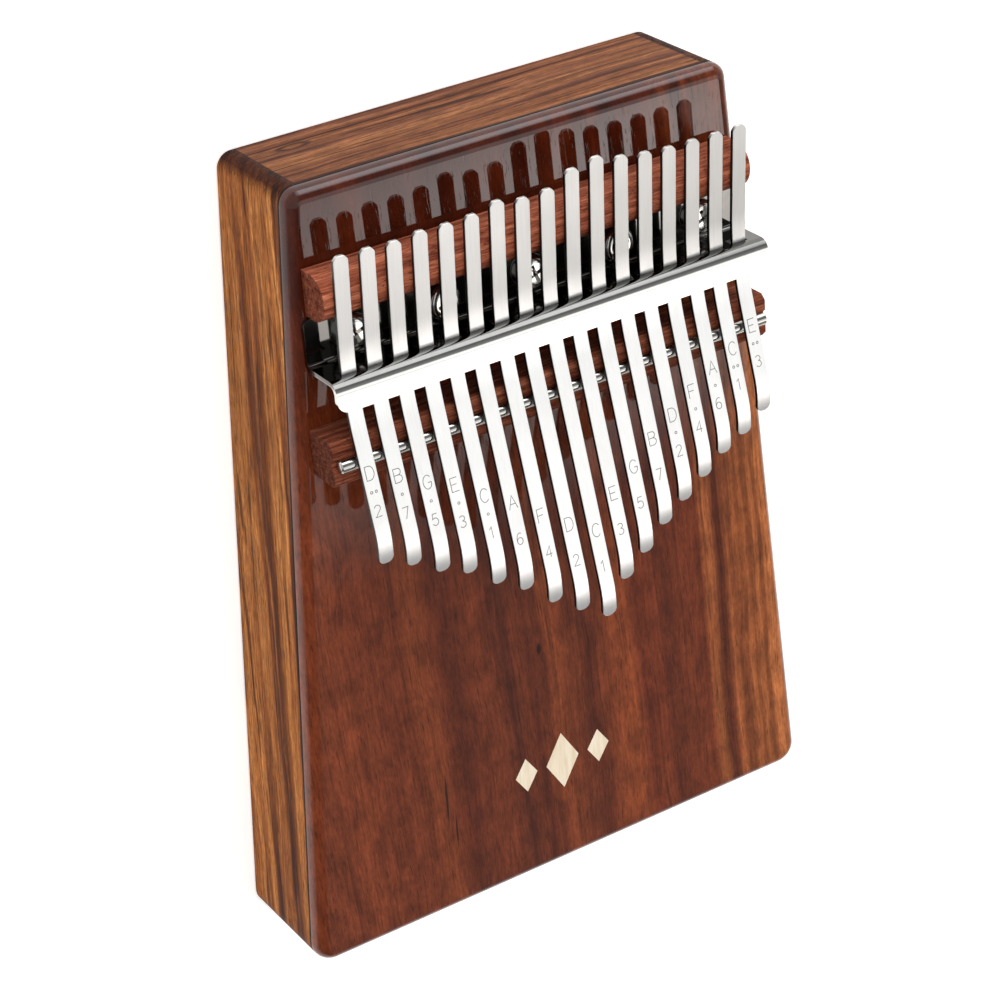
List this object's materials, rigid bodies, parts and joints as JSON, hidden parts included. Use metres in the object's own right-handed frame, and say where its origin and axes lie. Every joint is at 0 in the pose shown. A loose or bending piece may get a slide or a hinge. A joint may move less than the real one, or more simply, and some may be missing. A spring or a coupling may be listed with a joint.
{
  "type": "thumb piano",
  "caption": "Hollow tapered wooden thumb piano: sprung steel tines under a slotted pressure bracket, over a rod bridge and a half-round nut.",
  "frame": {"origin": "centre of the back face's bounding box, on the surface that the box lies on", "axes": "+Z out of the soundboard, +Y along the box towards the head with the tine tails, +X to the player's right with the head away from the player's body"},
  "size_m": [0.1362, 0.185, 0.0545],
  "materials": {
    "lacquered_wood": "gloss lacquer",
    "satin_wood": "satin",
    "satin_end_wood": "satin",
    "inner_wood": "raw",
    "bare_wood": "raw, fine sawn",
    "pale_inlay": "satin",
    "polished_steel": "polished",
    "plated_steel": "mirror plated",
    "plated_screws": "plated",
    "tine_steel": "fine brushed"
  },
  "bodies": {
    "box": {"soundboard": "lacquered_wood", "back_board": "satin_wood", "left_side": "satin_wood", "right_side": "satin_wood", "top_end": "satin_end_wood", "bottom_end": "satin_end_wood", "screw_block": "inner_wood", "bridge_brace": "inner_wood", "nut": "bare_wood", "bridge_block": "bare_wood", "saddle_rod": "polished_steel", "pressure_bracket": "plated_steel", "bracket_screws": "plated_screws", "inlay_lozenges": "pale_inlay"},
    "tine_01_tail": {"tine_01_tail": "tine_steel"},
    "tine_01_tongue": {"tine_01_tongue": "tine_steel"},
    "tine_02_tail": {"tine_02_tail": "tine_steel"},
    "tine_02_tongue": {"tine_02_tongue": "tine_steel"},
    "tine_03_tail": {"tine_03_tail": "tine_steel"},
    "tine_03_tongue": {"tine_03_tongue": "tine_steel"},
    "tine_04_tail": {"tine_04_tail": "tine_steel"},
    "tine_04_tongue": {"tine_04_tongue": "tine_steel"},
    "tine_05_tail": {"tine_05_tail": "tine_steel"},
    "tine_05_tongue": {"tine_05_tongue": "tine_steel"},
    "tine_06_tail": {"tine_06_tail": "tine_steel"},
    "tine_06_tongue": {"tine_06_tongue": "tine_steel"},
    "tine_07_tail": {"tine_07_tail": "tine_steel"},
    "tine_07_tongue": {"tine_07_tongue": "tine_steel"},
    "tine_08_tail": {"tine_08_tail": "tine_steel"},
    "tine_08_tongue": {"tine_08_tongue": "tine_steel"},
    "tine_09_tail": {"tine_09_tail": "tine_steel"},
    "tine_09_tongue": {"tine_09_tongue": "tine_steel"},
    "tine_10_tail": {"tine_10_tail": "tine_steel"},
    "tine_10_tongue": {"tine_10_tongue": "tine_steel"},
    "tine_11_tail": {"tine_11_tail": "tine_steel"},
    "tine_11_tongue": {"tine_11_tongue": "tine_steel"},
    "tine_12_tail": {"tine_12_tail": "tine_steel"},
    "tine_12_tongue": {"tine_12_tongue": "tine_steel"},
    "tine_13_tail": {"tine_13_tail": "tine_steel"},
    "tine_13_tongue": {"tine_13_tongue": "tine_steel"},
    "tine_14_tail": {"tine_14_tail": "tine_steel"},
    "tine_14_tongue": {"tine_14_tongue": "tine_steel"},
    "tine_15_tail": {"tine_15_tail": "tine_steel"},
    "tine_15_tongue": {"tine_15_tongue": "tine_steel"},
    "tine_16_tail": {"tine_16_tail": "tine_steel"},
    "tine_16_tongue": {"tine_16_tongue": "tine_steel"},
    "tine_17_tail": {"tine_17_tail": "tine_steel"},
    "tine_17_tongue": {"tine_17_tongue": "tine_steel"}
  },
  "joints": [
    {"name": "tine_01_tune", "type": "slide", "parent": "box", "child": "tine_01_tail", "axis": [0, -0.9954, 0.0958], "range_m": [-0.001, 0.001]},
    {"name": "tine_01_pluck", "type": "hinge", "parent": "tine_01_tail", "child": "tine_01_tongue", "pos_m": [-0.04928, 0.03596, 0.04218], "axis": [1, 0, 0], "range_deg": [-3, 4], "stiffness_Nm_per_rad": 5.83},
    {"name": "tine_02_tune", "type": "slide", "parent": "box", "child": "tine_02_tail", "axis": [0, -0.9954, 0.0958], "range_m": [-0.001, 0.001]},
    {"name": "tine_02_pluck", "type": "hinge", "parent": "tine_02_tail", "child": "tine_02_tongue", "pos_m": [-0.04312, 0.03596, 0.04218], "axis": [1, 0, 0], "range_deg": [-3, 4], "stiffness_Nm_per_rad": 5.24},
    {"name": "tine_03_tune", "type": "slide", "parent": "box", "child": "tine_03_tail", "axis": [0, -0.9954, 0.0958], "range_m": [-0.001, 0.001]},
    {"name": "tine_03_pluck", "type": "hinge", "parent": "tine_03_tail", "child": "tine_03_tongue", "pos_m": [-0.03696, 0.03596, 0.04218], "axis": [1, 0, 0], "range_deg": [-3, 4], "stiffness_Nm_per_rad": 4.6},
    {"name": "tine_04_tune", "type": "slide", "parent": "box", "child": "tine_04_tail", "axis": [0, -0.9954, 0.0958], "range_m": [-0.001, 0.001]},
    {"name": "tine_04_pluck", "type": "hinge", "parent": "tine_04_tail", "child": "tine_04_tongue", "pos_m": [-0.0308, 0.03596, 0.04218], "axis": [1, 0, 0], "range_deg": [-3, 4], "stiffness_Nm_per_rad": 4.23},
    {"name": "tine_05_tune", "type": "slide", "parent": "box", "child": "tine_05_tail", "axis": [0, -0.9954, 0.0958], "range_m": [-0.001, 0.001]},
    {"name": "tine_05_pluck", "type": "hinge", "parent": "tine_05_tail", "child": "tine_05_tongue", "pos_m": [-0.02464, 0.03596, 0.04218], "axis": [1, 0, 0], "range_deg": [-3, 4], "stiffness_Nm_per_rad": 3.69},
    {"name": "tine_06_tune", "type": "slide", "parent": "box", "child": "tine_06_tail", "axis": [0, -0.9954, 0.0958], "range_m": [-0.001, 0.001]},
    {"name": "tine_06_pluck", "type": "hinge", "parent": "tine_06_tail", "child": "tine_06_tongue", "pos_m": [-0.01848, 0.03596, 0.04218], "axis": [1, 0, 0], "range_deg": [-3, 4], "stiffness_Nm_per_rad": 3.36},
    {"name": "tine_07_tune", "type": "slide", "parent": "box", "child": "tine_07_tail", "axis": [0, -0.9954, 0.0958], "range_m": [-0.001, 0.001]},
    {"name": "tine_07_pluck", "type": "hinge", "parent": "tine_07_tail", "child": "tine_07_tongue", "pos_m": [-0.01232, 0.03596, 0.04218], "axis": [1, 0, 0], "range_deg": [-3, 4], "stiffness_Nm_per_rad": 2.98},
    {"name": "tine_08_tune", "type": "slide", "parent": "box", "child": "tine_08_tail", "axis": [0, -0.9954, 0.0958], "range_m": [-0.001, 0.001]},
    {"name": "tine_08_pluck", "type": "hinge", "parent": "tine_08_tail", "child": "tine_08_tongue", "pos_m": [-0.00616, 0.03596, 0.04218], "axis": [1, 0, 0], "range_deg": [-3, 4], "stiffness_Nm_per_rad": 2.73},
    {"name": "tine_09_tune", "type": "slide", "parent": "box", "child": "tine_09_tail", "axis": [0, -0.9954, 0.0958], "range_m": [-0.001, 0.001]},
    {"name": "tine_09_pluck", "type": "hinge", "parent": "tine_09_tail", "child": "tine_09_tongue", "pos_m": [0, 0.03596, 0.04218], "axis": [1, 0, 0], "range_deg": [-3, 4], "stiffness_Nm_per_rad": 2.55},
    {"name": "tine_10_tune", "type": "slide", "parent": "box", "child": "tine_10_tail", "axis": [0, -0.9954, 0.0958], "range_m": [-0.001, 0.001]},
    {"name": "tine_10_pluck", "type": "hinge", "parent": "tine_10_tail", "child": "tine_10_tongue", "pos_m": [0.00616, 0.03596, 0.04218], "axis": [1, 0, 0], "range_deg": [-3, 4], "stiffness_Nm_per_rad": 2.91},
    {"name": "tine_11_tune", "type": "slide", "parent": "box", "child": "tine_11_tail", "axis": [0, -0.9954, 0.0958], "range_m": [-0.001, 0.001]},
    {"name": "tine_11_pluck", "type": "hinge", "parent": "tine_11_tail", "child": "tine_11_tongue", "pos_m": [0.01232, 0.03596, 0.04218], "axis": [1, 0, 0], "range_deg": [-3, 4], "stiffness_Nm_per_rad": 3.2},
    {"name": "tine_12_tune", "type": "slide", "parent": "box", "child": "tine_12_tail", "axis": [0, -0.9954, 0.0958], "range_m": [-0.001, 0.001]},
    {"name": "tine_12_pluck", "type": "hinge", "parent": "tine_12_tail", "child": "tine_12_tongue", "pos_m": [0.01848, 0.03596, 0.04218], "axis": [1, 0, 0], "range_deg": [-3, 4], "stiffness_Nm_per_rad": 3.59},
    {"name": "tine_13_tune", "type": "slide", "parent": "box", "child": "tine_13_tail", "axis": [0, -0.9954, 0.0958], "range_m": [-0.001, 0.001]},
    {"name": "tine_13_pluck", "type": "hinge", "parent": "tine_13_tail", "child": "tine_13_tongue", "pos_m": [0.02464, 0.03596, 0.04218], "axis": [1, 0, 0], "range_deg": [-3, 4], "stiffness_Nm_per_rad": 3.97},
    {"name": "tine_14_tune", "type": "slide", "parent": "box", "child": "tine_14_tail", "axis": [0, -0.9954, 0.0958], "range_m": [-0.001, 0.001]},
    {"name": "tine_14_pluck", "type": "hinge", "parent": "tine_14_tail", "child": "tine_14_tongue", "pos_m": [0.0308, 0.03596, 0.04218], "axis": [1, 0, 0], "range_deg": [-3, 4], "stiffness_Nm_per_rad": 4.44},
    {"name": "tine_15_tune", "type": "slide", "parent": "box", "child": "tine_15_tail", "axis": [0, -0.9954, 0.0958], "range_m": [-0.001, 0.001]},
    {"name": "tine_15_pluck", "type": "hinge", "parent": "tine_15_tail", "child": "tine_15_tongue", "pos_m": [0.03696, 0.03596, 0.04218], "axis": [1, 0, 0], "range_deg": [-3, 4], "stiffness_Nm_per_rad": 5.04},
    {"name": "tine_16_tune", "type": "slide", "parent": "box", "child": "tine_16_tail", "axis": [0, -0.9954, 0.0958], "range_m": [-0.001, 0.001]},
    {"name": "tine_16_pluck", "type": "hinge", "parent": "tine_16_tail", "child": "tine_16_tongue", "pos_m": [0.04312, 0.03596, 0.04218], "axis": [1, 0, 0], "range_deg": [-3, 4], "stiffness_Nm_per_rad": 5.58},
    {"name": "tine_17_tune", "type": "slide", "parent": "box", "child": "tine_17_tail", "axis": [0, -0.9954, 0.0958], "range_m": [-0.001, 0.001]},
    {"name": "tine_17_pluck", "type": "hinge", "parent": "tine_17_tail", "child": "tine_17_tongue", "pos_m": [0.04928, 0.03596, 0.04218], "axis": [1, 0, 0], "range_deg": [-3, 4], "stiffness_Nm_per_rad": 6.55}
  ]
}
